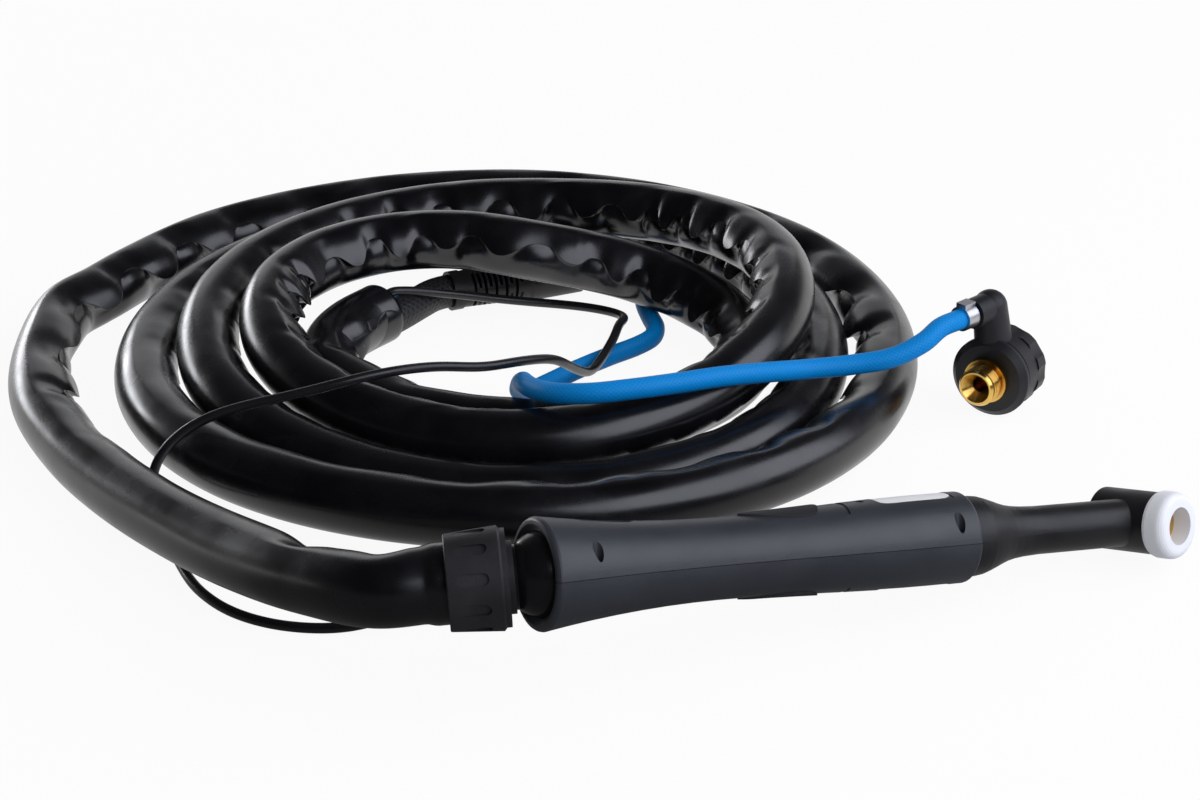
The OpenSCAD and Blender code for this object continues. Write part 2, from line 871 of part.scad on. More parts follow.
module swivel_disc() {
    color("#4a4a50") in_nut() difference() {
        rod_x(-nut_front, -collar_front - collar_w - disc_gap, disc_d / 2);
        rod_x(-30, 0, stem_r + swivel_gap);
    }
}

module clamp_nut() {
    color("#303136") in_nut() difference() {
        lathe_x([
            [-nut_back, 0], [-nut_back, nut_rear_d / 2 - 0.4],
            [-nut_back + 0.4, nut_rear_d / 2],
            [-nut_front - 1, nut_d / 2], [-nut_front, nut_d / 2 - 1.2],
            [-nut_front, 0]
        ]);
        rod_x(-40 - nut_back, 0, spigot_r + swivel_gap);
        rod_x(-40 - nut_back, -spigot_back, sheath_seat_r + sheath_seat_gap);
        for (i = [0 : pockets - 1]) rotate([360 * (i + 0.5) / pockets + pocket_turn, 0, 0])
            translate([-nut_front - pocket_front - pocket_len / 2, 0, nut_d / 2 - pocket_deep])
                linear_extrude(5) slot_shape(pocket_len, pocket_w);
    }
}

module ball_race() {
    color("#55565c") in_torch() difference() {
        rod_x(race_back, race_front, race_r);
        sphere(ball_r + 0.1);
    }
}

// ---- sheath and lines ----
module sheath_lead() {
    color("#232326") tube(
        lead_path,
        [for (i = [0 : len(lead_path) - 1]) i < 2 ? sheath_seat_r : sheath_r],
        12
    );
}

module sheath_coil() {
    color("#232326") tube(coil_path, sheath_r, 6);
}

module sheath_tail() {
    color("#232326") tube(tail_path, sheath_r, 12);
}

module power_cable() {
    color("#161617") tube(power_path, power_d / 2, 10);
}

module power_collar() {
    color("#1f1f21") at_plug() rod_x(relief_x, relief_x + collar_len, 9);
}

module power_relief() {
    color("#1b1b1d") at_plug() difference() {
        lathe_x([
            [relief_x + collar_len, 0], [relief_x + collar_len, 8.4],
            [plug_x0, 10], [plug_x0, 0]
        ]);
        for (i = [0 : 4]) for (s = [0, 1]) rotate([90 * s, 0, 0])
            translate([relief_x + collar_len + 5 + 5 * i + 2.5 * s, 0, 0])
                difference() {
                    cube([1.4, 40, 40], center = true);
                    rod_x(-5, 5, 6);
                    cube([10, 5, 60], center = true);
                }
    }
}

module power_plug() {
    color("#1d1d1f") at_plug() lathe_x([
        [plug_x0, 0], [plug_x0, plug_d / 2 - 1], [plug_x0 + 1, plug_d / 2],
        [plug_x0 + plug_len - 1, plug_d / 2], [plug_x0 + plug_len, plug_d / 2 - 1],
        [plug_x0 + plug_len, 0]
    ]);
}

module power_pin() {
    color("#c9a24b") at_plug()
        rod_x(plug_x0 + plug_len, plug_x0 + plug_len + pin_len, pin_d / 2);
}

module gas_hose() {
    color("#1f9fd6") tube(hose_path, hose_d / 2, 8);
}

module ear_clamp() {
    color("#b8bbc0") translate(barb_end) rotate([0, 0, barb_yaw]) difference() {
        union() {
            rod_x(1, 7.5, hose_d / 2 + 1.1);
            translate([4.25, 0, hose_d / 2 + 1.2]) cube([6.5, 5, 2.6], center = true);
        }
        rod_x(0, 9, hose_d / 2 + 0.1);
    }
}

module elbow() {
    color("#2c2d31") difference() {
        union() {
            in_gas() {
                lathe_x([
                    [hub_back, 0], [hub_back, wheel_r - 0.6],
                    [-flange_w - neck_w, wheel_r - 0.6],
                    [-flange_w - neck_w, wheel_r - 1.8], [-flange_w, wheel_r - 1.8],
                    [-flange_w, wheel_r], [-flange_bevel, wheel_r],
                    [0, wheel_r - flange_bevel], [0, 0]
                ]);
                intersection() {
                    translate([upright_x, 0, 0]) rotate([gas_lean, 0, 0]) union() {
                        cylinder(h = barb_rise, r1 = upright_r, r2 = upright_top_r);
                        translate([0, 0, barb_rise]) sphere(upright_top_r);
                    }
                    translate([hub_back, -2 * wheel_r, 0]) cube(4 * wheel_r);
                }
            }
            translate(barb_mid) rotate([0, 0, barb_yaw]) rod_x(0, barb_len, barb_r);
        }
        in_gas() rod_x(-40, 1, stud_shaft_r + 0.1);
    }
}

module gas_wheel() {
    back = flange_w + neck_w + hub_w + hub_gap;
    color("#33343a") in_gas() difference() {
        lathe_x([
            [-back - wheel_w, 0], [-back - wheel_w, wheel_r - 1.5],
            [-back - wheel_w + 1.5, wheel_r], [-back, wheel_r], [-back, 0]
        ]);
        rod_x(-back - 4, 0, stud_shaft_r + fit);
        for (i = [0 : wheel_flats - 1]) rotate([360 * (i + 0.5) / wheel_flats, 0, 0])
            translate([-back - wheel_w / 2, 0, wheel_r + 9.3]) rotate([0, 90, 0])
                cylinder(h = 40, r = 10.2, center = true);
    }
}

module gas_stud() {
    back = flange_w + neck_w + hub_w + hub_gap;
    color("#cda349") in_gas() difference() {
        lathe_x([
            [-back - 4, 0], [-back - 4, stud_shaft_r], [0.1, stud_shaft_r],
            [0.1, stud_base_r], [stud_base_w, stud_base_r],
            [stud_base_w, stud_r - 1], [stud_base_w + 1.2, stud_r - 1],
            [stud_base_w + 1.2, stud_r], [stud_len - 1, stud_r],
            [stud_len, stud_r - 0.8], [stud_len, 0]
        ]);
        rod_x(-back - 1, stud_len + 1, 3.1);
        lathe_x([[stud_len - 4.4, 0], [stud_len - 4.4, 3], [stud_len + 0.1, 6.4],
            [stud_len + 0.1, 0]]);
    }
}

module control_cable() {
    color("#1c1c1e") tube(control_path, control_d / 2, 8);
}

module control_plug() {
    color("#222226") translate([control_plug_x, control_plug_y, control_plug_z]) lathe_x([
        [0, 0], [0, boot_r], [boot_len, boot_wide_r], [boot_end, control_plug_d / 2],
        [control_plug_len, control_plug_d / 2], [control_plug_len, 0]
    ]);
}

handle_right();
handle_left();
grip_inset_right();
grip_inset_left();
screw_rear();
screw_front();
trigger_button();
switch_carrier();
micro_switch();
switch_plunger();
power_union();
inner_power_cable();
inner_control_lead();
head_insulator();
head_core();
neck_tube();
cup_gasket();
ball();
collar_ring();
ball_race();
swivel_disc();
clamp_nut();
sheath_lead();
sheath_coil();
sheath_tail();
power_cable();
power_collar();
power_relief();
power_plug();
power_pin();
gas_hose();
ear_clamp();
elbow();
gas_wheel();
gas_stud();
control_cable();
control_plug();
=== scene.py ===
import json
import math
import bpy
import numpy as np
from mathutils import Matrix, Vector


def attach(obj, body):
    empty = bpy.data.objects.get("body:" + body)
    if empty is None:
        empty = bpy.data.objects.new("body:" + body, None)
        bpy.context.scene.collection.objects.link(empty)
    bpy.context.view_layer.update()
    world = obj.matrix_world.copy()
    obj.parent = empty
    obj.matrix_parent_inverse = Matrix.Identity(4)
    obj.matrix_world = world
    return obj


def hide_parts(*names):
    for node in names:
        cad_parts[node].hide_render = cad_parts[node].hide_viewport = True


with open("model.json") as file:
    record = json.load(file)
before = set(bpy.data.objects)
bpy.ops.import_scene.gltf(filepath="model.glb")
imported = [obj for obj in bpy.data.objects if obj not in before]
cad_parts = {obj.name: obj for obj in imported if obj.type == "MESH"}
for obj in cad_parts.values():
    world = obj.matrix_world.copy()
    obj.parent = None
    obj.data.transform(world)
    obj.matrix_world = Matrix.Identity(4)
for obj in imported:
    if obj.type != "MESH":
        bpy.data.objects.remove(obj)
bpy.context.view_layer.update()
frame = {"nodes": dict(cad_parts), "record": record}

scene = bpy.context.scene
nodes = frame["nodes"]
MM = 0.001

# ---------------------------------------------------------------- camera
cam = bpy.data.objects.new("camera", bpy.data.cameras.new("camera"))
scene.collection.objects.link(cam)
cam.data.lens = 90
cam.data.sensor_width = 36
cam.data.clip_start = 0.05
cam.data.clip_end = 20
cam.location = (-0.4863, -0.8432, 0.544)
cam.rotation_euler = (math.radians(65), 0, math.radians(-25.15))
scene.camera = cam

# ---------------------------------------------------------------- sizes and places, in mm and degrees
BALL = np.array([-112.5, -3.5, 48.969])
DIP, ROLL, YAW, RISE = 7.8, -107.0, -20.13, 3.5
NUT_BACK = 30.3
SHEATH_R, SHEATH_WALL, NUT_BORE_R = 13.5, 0.9, 14.5
POWER_R, HOSE_R, CONTROL_R = 7.5, 4.25, 2.0
WHEEL_R, GAS_YAW, BARB_YAW, LEAN = 17.4, 212.8, 198.8, 9
BARB_RISE, BARB_BACK, BARB_LEN = 29.5, 8.5, 12
NIPPLE_R, THREAD_PITCH, THREAD_START, THREAD_TURNS, THREAD_HIGH = 7.95, 1.411, 4.9, 4, 0.34
LABEL_X, LABEL_HALF_LEN, LABEL_HALF_W, LABEL_T, RECESS = 147.5, 15.5, 5.6, 0.14, 0.29
WAIST_X, WAIST_R, NOSE_X, NOSE_GROWTH = 66, 14.8, 152, 2.3


def turn(axis, degrees):
    return np.array(Matrix.Rotation(math.radians(degrees), 3, axis))


def unit(v):
    v = np.array(v, float)
    return v / np.linalg.norm(v)


def heading(degrees):
    """The level direction at an angle from +X."""
    return np.array([math.cos(math.radians(degrees)), math.sin(math.radians(degrees)), 0])


TORCH = turn("Y", DIP) @ turn("X", ROLL)
NUT = turn("Z", YAW) @ turn("Y", -RISE)


def torch(p):
    """A place in the handle's own frame, given in the part's frame."""
    return BALL + TORCH @ np.array(p, float)


# ---------------------------------------------------------------- routes, in mm
# The coil's distance from its middle and its height, each quarter turn
COIL_MID, COIL_TURN, COIL_FIRST, COIL_LAST = (-8.0, 258.0), 155.0, 0.25, 15.5
COIL_REACH = [199, 172, 158.5, 185, 158.5, 143, 129, 153, 132, 112, 114, 124, 103, 46, 97, 90.5, 79, 70]
COIL_LIFT = [13.5, 13.5, 13.5, 23, 14, 13.5, 13.5, 13.5, 27.5, 32, 42, 24, 38, 38, 14, 13.5, 13.5, 13.5]
POINTS_A_QUARTER = 6


def between(v, k):
    """The value at place k of a smooth curve through v."""
    i = max(1, min(len(v) - 3, math.floor(k)))
    j = 0 if math.floor(k) < 1 else i
    t = k - j
    a, b, c, d = v[max(0, j - 1)], v[j], v[j + 1], v[min(len(v) - 1, j + 2)]
    return 0.5 * (2 * b + (c - a) * t + (2 * a - 5 * b + 4 * c - d) * t * t
                  + (3 * b - a - 3 * c + d) * t * t * t)


def coil_at(k):
    a, r = math.radians(COIL_TURN - 90 * k), between(COIL_REACH, k)
    return np.array([COIL_MID[0] + r * math.cos(a), COIL_MID[1] + r * math.sin(a),
                     max(SHEATH_R, between(COIL_LIFT, k))])


nut_dir = NUT @ np.array([1.0, 0, 0])
sheath_start = BALL - NUT_BACK * nut_dir
steps = round((COIL_LAST - COIL_FIRST) * POINTS_A_QUARTER)
coil = [coil_at(COIL_FIRST + (COIL_LAST - COIL_FIRST) * i / steps) for i in range(steps + 1)]
in_dir = unit(coil_at(COIL_FIRST + 0.01) - coil_at(COIL_FIRST))
out_dir = unit(coil_at(COIL_LAST) - coil_at(COIL_LAST - 0.01))
coil_in, coil_out = coil[0] - 2 * SHEATH_R * in_dir, coil[-1] + 2 * SHEATH_R * out_dir
lead = [sheath_start, sheath_start - 10 * nut_dir, sheath_start - 28 * nut_dir,
        (-181, 48, 38), (-192, 90, 29), (-202, 138, 21), (-210, 186, 16), (-215, 234, 13.5),
        (-214, 282, 13.5), (-202, 326, 13.5), coil_in - 22 * in_dir]
tail = [coil_out + 6 * out_dir, (-92, 268, 13.5), (-84, 286, 13.5), (-71, 300, 13.5), (-53, 311, 13.5)]
tail_end = np.array(tail[-1], float)
tail_dir = unit(tail_end - np.array(tail[-2], float))
tail_side = np.array([-tail_dir[1], tail_dir[0], 0])


def mouth(aside, up):
    """A place in the sheath's open end."""
    return tail_end + 0.05 * tail_dir + aside * tail_side + (0, 0, up)


power_out, hose_out, control_out = mouth(-4.3, -2.5), mouth(7.6, -2.9), mouth(-3, 8.9)
gas_dir, barb_dir = heading(GAS_YAW), heading(BARB_YAW)
gas_at = np.array([150.6, 128.7, WHEEL_R])
lean_dir = np.array([math.sin(math.radians(LEAN)) * gas_dir[1],
                     -math.sin(math.radians(LEAN)) * gas_dir[0], math.cos(math.radians(LEAN))])
barb_end = gas_at + BARB_RISE * lean_dir - BARB_BACK * gas_dir + BARB_LEN * barb_dir
power_points = [
    power_out - 55 * tail_dir, power_out - 25 * tail_dir, power_out, power_out + 12 * tail_dir,
    (-29, 321.2, 11), (-22, 325.4, 11), (-16, 327, 11), (-13.05, 327, 11)]
hose_points = [
    hose_out - 12 * tail_dir, hose_out, hose_out + 9 * tail_dir,
    (-39, 331, 7), (-26, 337.5, 5.5), (-10, 342.5, 5), (8, 346, 5), (28, 348, 5), (46, 346.5, 5),
    (61, 341, 5), (72, 331, 5), (76, 317, 5), (73, 302, 5), (67, 287, 5), (63, 273, 5), (60, 262, 5),
    (54, 253, 5), (44, 247.5, 5), (28, 242.5, 5), (10, 236, 5), (-7, 228.5, 5), (-20, 220, 7),
    (-29, 210, 13), (-34, 198, 22), (-39, 184, 30), (-45, 168, 37), (-48, 152, 42), (-46, 137, 46),
    (-36, 126, 48.5), (-19, 121.5, 49), (0, 121, 48), (20, 123, 46), (42, 127, 42), (64, 130, 38),
    (84, 127, 37.5), (100, 122.5, 39.5), (114, 122.5, 43.5),
    barb_end + 20 * barb_dir, barb_end + 9 * barb_dir, barb_end + 0.05 * barb_dir]
control_points = [
    control_out - 10 * tail_dir, control_out, control_out + 8 * tail_dir,
    (-28, 312, 19), (-12, 311, 15), (4, 309, 11), (20, 305, 8), (35, 298, 6.5), (46, 287, 6.5),
    (50, 273, 8), (40, 258, 12), (31, 244, 13), (20, 231, 12), (7, 217, 12), (-7, 203.5, 22),
    (-22, 191.5, 34), (-40, 183, 40), (-60, 176, 44), (-80, 174, 49), (-98, 171, 52), (-113, 171, 52),
    (-127, 173, 50), (-143, 179, 46), (-158, 186, 42), (-172, 191, 37.5), (-184, 194, 30.5),
    (-192, 196.5, 20.5), (-195.5, 195.5, 10.5), (-196, 188, 4), (-197, 176, 2), (-199, 160, 2),
    (-201, 140, 2), (-201, 120, 2), (-195, 98, 2), (-181, 80, 2), (-160, 68.5, 2.5), (-136, 62, 8),
    (-124.05, 62, 8)]


# ---------------------------------------------------------------- lines and tubes
def smooth_line(points, step):
    """A Catmull-Rom curve through the points, with points a step apart, and their lengths along it."""
    p = [np.array(q, float) for q in points]
    p = [2 * p[0] - p[1]] + p + [2 * p[-1] - p[-2]]
    curve = []
    for a, b, c, d in zip(p, p[1:], p[2:], p[3:]):
        t0, t1 = 0.0, np.linalg.norm(b - a) ** 0.5
        t2 = t1 + np.linalg.norm(c - b) ** 0.5
        t3 = t2 + np.linalg.norm(d - c) ** 0.5
        for t in np.linspace(t1, t2, 24, endpoint=False):
            u = (t1 - t) / (t1 - t0) * a + (t - t0) / (t1 - t0) * b
            v = (t2 - t) / (t2 - t1) * b + (t - t1) / (t2 - t1) * c
            w = (t3 - t) / (t3 - t2) * c + (t - t2) / (t3 - t2) * d
            x = (t2 - t) / (t2 - t0) * u + (t - t0) / (t2 - t0) * v
            y = (t3 - t) / (t3 - t1) * v + (t - t1) / (t3 - t1) * w
            curve.append((t2 - t) / (t2 - t1) * x + (t - t1) / (t2 - t1) * y)
    curve.append(p[-2])
    curve = np.array(curve)
    length = np.concatenate([[0], np.cumsum(np.linalg.norm(np.diff(curve, axis=0), axis=1))])
    s = np.linspace(0, length[-1], max(4, round(length[-1] / step) + 1))
    return np.stack([np.interp(s, length, curve[:, k]) for k in range(3)], 1), s


def tangents(line):
    t = np.gradient(line, axis=0)
    return t / np.linalg.norm(t, axis=1)[:, None]


def carried_normals(line):
    """Two normals of a line that turn with it and don't twist."""
    t = tangents(line)
    u = np.zeros_like(t)
    n = np.array([0.2, 0.1, 1.0])
    for i in range(len(t)):
        n = n - (n @ t[i]) * t[i]
        n /= np.linalg.norm(n)
        u[i] = n
    return u, np.cross(t, u)


def blur(a, sigma):
    """a smoothed along its first axis by a bell of sigma samples."""
    half = int(3 * sigma) + 1
    k = np.exp(-0.5 * (np.arange(-half, half + 1) / sigma) ** 2)
    k /= k.sum()
    padded = np.concatenate([np.repeat(a[:1], half, 0), a, np.repeat(a[-1:], half, 0)])
    return np.stack([np.convolve(padded[:, j], k, "valid") for j in range(a.shape[1])], 1)


def soft(x):
    """x held to 0 to 1, with a smooth start and stop."""
    x = np.clip(x, 0, 1)
    return x * x * (3 - 2 * x)


def tube_mesh(name, rings, at):
    """A closed mesh tube from rings of points (rings x n x 3, mm), with UVs of turns and metres."""
    m, n = rings.shape[:2]
    verts = (rings.reshape(-1, 3) * MM).tolist()
    faces, uvs = [], []
    for i in range(m - 1):
        v0, v1 = at[i] * MM, at[i + 1] * MM
        for k in range(n):
            a, b = i * n + k, i * n + (k + 1) % n
            faces.append((a, b, b + n, a + n))
            u0, u1 = k / n, (k + 1) / n
            uvs += [(u0, v0), (u1, v0), (u1, v1), (u0, v1)]
    faces += [tuple(reversed(range(n))), tuple(range((m - 1) * n, m * n))]
    uvs += [(0, 0)] * 2 * n
    mesh = bpy.data.meshes.new(name)
    mesh.from_pydata(verts, [], faces)
    layer = mesh.uv_layers.new(name="UVMap")
    layer.data.foreach_set("uv", np.array(uvs, np.float32).ravel())
    mesh.polygons.foreach_set("use_smooth", [True] * len(faces))
    mesh.update()
    o = bpy.data.objects.new(name, mesh)
    scene.collection.objects.link(o)
    return o


# ---------------------------------------------------------------- shader nodes
def node(t, kind, **values):
    """A new node; each value goes to the input of its name, or else to the property."""
    n = t.nodes.new(kind)
    for key, value in values.items():
        if key in n.inputs:
            n.inputs[key].default_value = value
        else:
            setattr(n, key, value)
    return n


def math_node(t, op, *values):
    n = node(t, "ShaderNodeMath", operation=op)
    for i, x in enumerate(values):
        if isinstance(x, (int, float)):
            n.inputs[i].default_value = x
        else:
            t.links.new(x, n.inputs[i])
    return n.outputs[0]


def place(t, what="Object"):
    return node(t, "ShaderNodeTexCoord").outputs[what]


def split(t, vector):
    """The X, Y and Z of a vector."""
    parts = node(t, "ShaderNodeSeparateXYZ")
    t.links.new(vector, parts.inputs["Vector"])
    return [parts.outputs[k] for k in "XYZ"]


def noise(t, where, scale, detail):
    n = node(t, "ShaderNodeTexNoise", Scale=scale, Detail=detail, Roughness=0.55)
    t.links.new(where, n.inputs["Vector"])
    return n.outputs["Fac"]


def ramp(t, fac, *stops):
    """A colour that follows fac through stops of a place and a colour."""
    r = node(t, "ShaderNodeValToRGB")
    for e, (pos, c) in zip(r.color_ramp.elements, stops):
        e.position = pos
        e.color = (*c, 1)
    t.links.new(fac, r.inputs["Fac"])
    return r.outputs["Color"]


def rise(t, fac, low, high, a=0.3, b=0.7):
    """low where fac is up to a, high from b on, and even between them."""
    r = node(t, "ShaderNodeMapRange")
    for key, value in (("From Min", a), ("From Max", b), ("To Min", low), ("To Max", high)):
        r.inputs[key].default_value = value
    t.links.new(fac, r.inputs["Value"])
    return r.outputs["Result"]


def bump(t, shader, height, depth):
    b = node(t, "ShaderNodeBump", Strength=1.0, Distance=depth)
    t.links.new(height, b.inputs["Height"])
    t.links.new(b.outputs["Normal"], shader.inputs["Normal"])


def shade(c, k):
    return tuple(min(1.0, x * k) for x in c)


# ---------------------------------------------------------------- materials
def material(name, color, rough, spec, metallic=0.0):
    m = bpy.data.materials.new(name)
    m.use_nodes = True
    b = m.node_tree.nodes["Principled BSDF"]
    b.inputs["Base Color"].default_value = (*color, 1)
    b.inputs["Roughness"].default_value = rough
    b.inputs["Specular IOR Level"].default_value = spec
    b.inputs["Metallic"].default_value = metallic
    return m, m.node_tree, b


def moulded(name, color, rough, grain=1600, depth=0.00004, spread=0.25, spec=0.4, metallic=0.0,
            haze=60, rough_spread=0.08):
    """A moulded or machined surface: a fine grain, a slow change of tone and handling marks."""
    m, t, b = material(name, color, rough, spec, metallic)
    where = place(t)
    slow, fine = noise(t, where, haze, 3), noise(t, where, grain, 2)
    t.links.new(ramp(t, slow, (0.3, shade(color, 1 - spread)), (0.7, shade(color, 1 + spread))),
                b.inputs["Base Color"])
    t.links.new(rise(t, slow, rough - rough_spread, rough + rough_spread), b.inputs["Roughness"])
    bump(t, b, fine, depth)
    return m


def metal(name, color, rough, grain=700, depth=0.00003, spread=0.12):
    return moulded(name, color, rough, grain, depth, spread, 0.5, 1.0)


def spiral(t, uv, turns, per_metre):
    """A wave of 0 to 1 that winds round a tube."""
    u, v, _ = split(t, uv)
    a = math_node(t, "MULTIPLY", u, turns * 2 * math.pi)
    c = math_node(t, "MULTIPLY", v, per_metre * 2 * math.pi)
    return math_node(t, "MULTIPLY_ADD", math_node(t, "SINE", math_node(t, "ADD", a, c)), 0.5, 0.5)


def braided(name, color, dark, turns, per_metre, depth, spec=0.4):
    """Two families of strands that cross round a tube, under a smooth skin."""
    rough = 0.5
    m, t, b = material(name, color, rough, spec)
    uv = place(t, "UV")
    weave = math_node(t, "MAXIMUM", spiral(t, uv, turns, per_metre), spiral(t, uv, -turns, per_metre))
    slow = noise(t, place(t), 70, 3)
    mixed = math_node(t, "MULTIPLY_ADD", weave, 0.75, math_node(t, "MULTIPLY", slow, 0.35))
    t.links.new(ramp(t, mixed, (0.25, dark), (0.85, color)), b.inputs["Base Color"])
    t.links.new(rise(t, slow, rough - 0.06, rough + 0.08), b.inputs["Roughness"])
    bump(t, b, weave, depth)
    return m


def vinyl(name):
    """Soft black vinyl: satin, slightly cloudy, with a very fine grain."""
    m, t, b = material(name, (0.005, 0.005, 0.006), 0.24, 0.62)
    where = place(t)
    slow, fine = noise(t, where, 45, 4), noise(t, where, 2200, 2)
    t.links.new(ramp(t, slow, (0.3, (0.003, 0.003, 0.004)), (0.75, (0.006, 0.006, 0.008))),
                b.inputs["Base Color"])
    t.links.new(rise(t, slow, 0.20, 0.32), b.inputs["Roughness"])
    bump(t, b, fine, 0.00001)
    return m


def turned_brass(name, ring=0.00035):
    """Brass with the fine rings of a lathe, a ring apart (metres), round the gas axis."""
    m = metal(name, (0.80, 0.50, 0.13), 0.22, 700, 0.00002, 0.10)
    t, b = m.node_tree, m.node_tree.nodes["Principled BSDF"]
    there = node(t, "ShaderNodeMapping")
    there.inputs["Rotation"].default_value = (0, 0, math.radians(-GAS_YAW))
    there.inputs["Location"].default_value = -(Vector(turn("Z", -GAS_YAW) @ gas_at) * MM)
    t.links.new(place(t), there.inputs["Vector"])
    _, y, z = split(t, there.outputs["Vector"])
    square = math_node(t, "ADD", math_node(t, "POWER", y, 2), math_node(t, "POWER", z, 2))
    wave = math_node(t, "MULTIPLY", math_node(t, "SQRT", square), 2 * math.pi / ring)
    bump(t, b, math_node(t, "SINE", wave), 0.000012)
    return m


MATS = {
    "thread": turned_brass("turned_brass"),
    "label": moulded("label_paper", (0.80, 0.80, 0.80), 0.45, 900, 0.00002, 0.03),
    "shell": moulded("shell_plastic", (0.030, 0.033, 0.041), 0.44, 1500, 0.00006, 0.10, 0.5, haze=35),
    "grip_rubber": moulded("grip_rubber", (0.018, 0.018, 0.021), 0.66, 900, 0.00008, 0.2, 0.3),
    "screw_steel": metal("screw_steel", (0.10, 0.10, 0.105), 0.4, 900, spread=0.2),
    "button": moulded("button_plastic", (0.022, 0.023, 0.027), 0.5, 1300, 0.00005, 0.15, 0.35),
    "carrier": moulded("carrier_plastic", (0.48, 0.45, 0.37), 0.5, 1000, 0.00003, 0.08),
    "switch_black": moulded("switch_plastic", (0.02, 0.02, 0.022), 0.45, 1200, 0.00003, 0.2),
    "plunger": moulded("plunger_plastic", (0.40, 0.06, 0.04), 0.4, 900, 0.00002, 0.1),
    "brass": metal("brass", (0.78, 0.50, 0.16), 0.24),
    "copper": metal("copper", (0.75, 0.34, 0.20), 0.3, spread=0.15),
    "head_rubber": moulded("head_rubber", (0.013, 0.013, 0.014), 0.42, 1100, 0.00006, 0.2, 0.35),
    "gasket_white": moulded("gasket_ptfe", (0.86, 0.87, 0.90), 0.38, 800, 0.00003, 0.03, 0.45, haze=90),
    "ball_gloss": moulded("ball_gloss", (0.006, 0.006, 0.007), 0.24, 600, 0.00001, 0.1, 0.35,
                          rough_spread=0.04),
    "nut_black": moulded("nut_nylon", (0.022, 0.021, 0.024), 0.50, 1300, 0.00008, 0.2, 0.35),
    "race": moulded("race_nylon", (0.07, 0.07, 0.075), 0.5, 1000, 0.00004, 0.15),
    "relief_black": moulded("relief_rubber", (0.012, 0.012, 0.013), 0.45, 1200, 0.00006, 0.2, 0.35),
    "clamp_steel": metal("clamp_steel", (0.50, 0.50, 0.53), 0.32, 800, spread=0.1),
    "fitting_black": moulded("fitting_nylon", (0.012, 0.012, 0.015), 0.48, 1200, 0.00006, 0.2),
    "sheath": vinyl("sheath_vinyl"),
    "hose_blue": braided("hose_skin", (0, 0.255, 0.690), (0, 0.190, 0.570), 14, 520, 0.00004, 0.15),
    "cable_black": moulded("cable_rubber", (0.010, 0.010, 0.012), 0.32, 1500, 0.00003, 0.2, 0.45),
    "power_black": braided("power_jacket", (0.022, 0.022, 0.024), (0.008, 0.008, 0.009), 12, 300, 0.0002),
}


def finish_with(o, key):
    """Give a piece the material of the slot it stands for."""
    mats = o.data.materials
    mats.clear()
    mats.append(MATS[key])


for part in frame["record"]["subparts"]:
    key = "thread" if part["node"] == "gas_stud" else part["material_slot"]
    finish_with(nodes[part["node"]], key)

# ---------------------------------------------------------------- sheath
# The vinyl buckles on the inner side of a bend: rounded petals hang over a sinuous
# crease, with hollows between them and a tucked face below. Angles round the sheath are
# in radians: a from the crease, psi from the inner side, both downward positive
STEP, SIDES = 1.4, 96
REST = -0.32
OUTER = 1450.0
COIL_STARTS, COIL_FADE, TAIL_PLAIN = 420, 60, 60
SMOOTH_LEFT = 170
rng = np.random.default_rng(7)


def fold_phase(s, first, mean, spread):
    """A rising number whose whole values are the places of the folds, first apart on the outer turn."""
    places = [0.0]
    while places[-1] < s[-1] + mean:
        gap = first if places[-1] < OUTER else mean
        places.append(places[-1] + gap * (1 + spread * (rng.random() * 2 - 1)))
    return np.interp(s, places, np.arange(len(places)))


def wobble(s, wave, seed):
    """A smooth random wave of -1 to 1."""
    places = np.arange(0, s[-1] + 2 * wave, wave)
    values = np.random.default_rng(seed).random(len(places)) * 2 - 1
    x = np.interp(s, places, np.arange(len(places)))
    i = np.minimum(x.astype(int), len(places) - 2)
    f = soft(x - i)
    return values[i] * (1 - f) + values[i + 1] * f


def fold_strength(line, s, turning):
    """How deep the folds are along the sheath, from 0 to 1.2."""
    bent = soft((turning * SHEATH_R - 0.008) / 0.045)
    coiled = (np.clip((s - COIL_STARTS) / COIL_FADE, 0, 1)
              * np.clip((s[-1] - TAIL_PLAIN - s) / COIL_FADE, 0, 1))
    strength = np.maximum(bent, 0.8 * coiled) * (0.95 + 0.2 * wobble(s, 70, 1))
    # The second and third turns are smooth at the left
    leftmost = s[1:-1][(line[1:-1, 0] < line[:-2, 0]) & (line[1:-1, 0] <= line[2:, 0])]
    for here in leftmost[1:3]:
        strength = strength * (1 - 0.85 * np.exp(-((s - here) / SMOOTH_LEFT) ** 4))
    return np.clip(strength, 0, 1.2)


